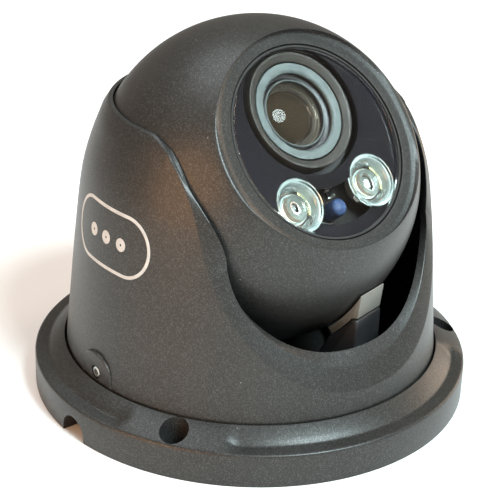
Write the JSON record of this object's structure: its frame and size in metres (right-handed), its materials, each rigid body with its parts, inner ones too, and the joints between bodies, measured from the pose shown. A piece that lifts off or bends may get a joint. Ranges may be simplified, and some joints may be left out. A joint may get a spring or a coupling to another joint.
{
  "type": "dome cctv camera",
  "caption": "Turret-style dome security camera: round flange base, turning shroud and a tilting ball with a varifocal lens and infrared lights behind a round window.",
  "frame": {"origin": "centre of the flange underside, in the plane that rests on the ceiling, wall or table", "axes": "+Z away from the mounting surface along the pan axis, -Y the way the shroud mouth and the lens face, +X to the right as seen from the lens"},
  "size_m": [0.138, 0.138, 0.1177],
  "materials": {
    "body_paint": "dark graphite powder coat with a fine metallic sparkle on cast aluminium",
    "black_plastic": "satin black moulding",
    "black_rubber": "soft matt black",
    "steel_fixings": "plated steel",
    "clear_window": "flat polished glass",
    "clear_optic": "clear moulded acrylic",
    "coated_lens": "coated lens glass",
    "lens_trim": "satin grey paint",
    "circuit_board": "black solder mask",
    "led_phosphor": "silicone over the LED chip",
    "sensor_blue": "blue-tinted light sensor",
    "sensor_chip": "cover glass of the image sensor",
    "white_plastic": "nylon connector"
  },
  "bodies": {
    "base": {"base_flange": "body_paint", "cable_grommet": "black_rubber", "seat_bracket": "black_plastic", "seat_pad_1": "black_rubber", "seat_pad_2": "black_rubber", "seat_pad_3": "black_rubber", "bracket_screw_1": "steel_fixings", "bracket_screw_2": "steel_fixings", "bracket_screw_3": "steel_fixings"},
    "shroud": {"shroud": "body_paint", "lock_screw_left": "steel_fixings", "lock_screw_right": "steel_fixings"},
    "ball": {"ball_front_shell": "body_paint", "ball_rear_shell": "body_paint", "shell_seal": "black_rubber", "shell_screw_1": "steel_fixings", "shell_screw_2": "steel_fixings", "shell_screw_3": "steel_fixings", "shell_screw_4": "steel_fixings", "rear_gland": "black_rubber", "window_gasket": "black_rubber", "front_glass": "clear_window", "mask_plate": "black_plastic", "lens_hood": "black_rubber", "led_board": "circuit_board", "led_left": "led_phosphor", "led_optic_left": "clear_optic", "led_right": "led_phosphor", "led_optic_right": "clear_optic", "light_sensor": "sensor_blue", "chip_resistor": "steel_fixings", "lens_barrel": "black_plastic", "lens_holder": "black_plastic", "ir_cut_filter": "coated_lens", "image_sensor": "sensor_chip", "sensor_board": "circuit_board", "power_board": "circuit_board", "power_connector": "white_plastic", "board_pillar_1": "steel_fixings", "board_pillar_2": "steel_fixings", "board_pillar_3": "steel_fixings", "board_pillar_4": "steel_fixings"},
    "zoom_ring": {"zoom_ring": "black_plastic", "zoom_lock_knob": "steel_fixings"},
    "focus_ring": {"focus_ring": "black_plastic", "focus_lock_knob": "steel_fixings"},
    "lens_front": {"lens_front_cell": "black_plastic", "lens_front_ring": "lens_trim", "lens_inner_ring": "lens_trim", "lens_front_element": "coated_lens"}
  },
  "joints": [
    {"name": "pan", "type": "hinge", "parent": "base", "child": "shroud", "pos_m": [0, 0, 0], "axis": [0, 0, 1], "range_deg": [-175, 175]},
    {"name": "tilt", "type": "hinge", "parent": "shroud", "child": "ball", "pos_m": [0, 0, 0.0673], "axis": [-1, 0, 0], "range_deg": [-32, 52]},
    {"name": "zoom", "type": "hinge", "parent": "ball", "child": "zoom_ring", "pos_m": [-0.00038, 0.00637, 0.07564], "axis": [0, -0.7944, 0.6074], "range_deg": [-45, 45]},
    {"name": "focus", "type": "hinge", "parent": "ball", "child": "focus_ring", "pos_m": [-0.00038, 0.00637, 0.07564], "axis": [0, -0.7944, 0.6074], "range_deg": [-40, 40]},
    {"name": "front_cell_travel", "type": "slide", "parent": "ball", "child": "lens_front", "axis": [0, -0.7944, 0.6074], "range_m": [-0.00105, 0.00105]}
  ],
  "couplings": [
    {"joint": "front_cell_travel", "follows": "focus", "m_per_rad": 0.0014}
  ]
}
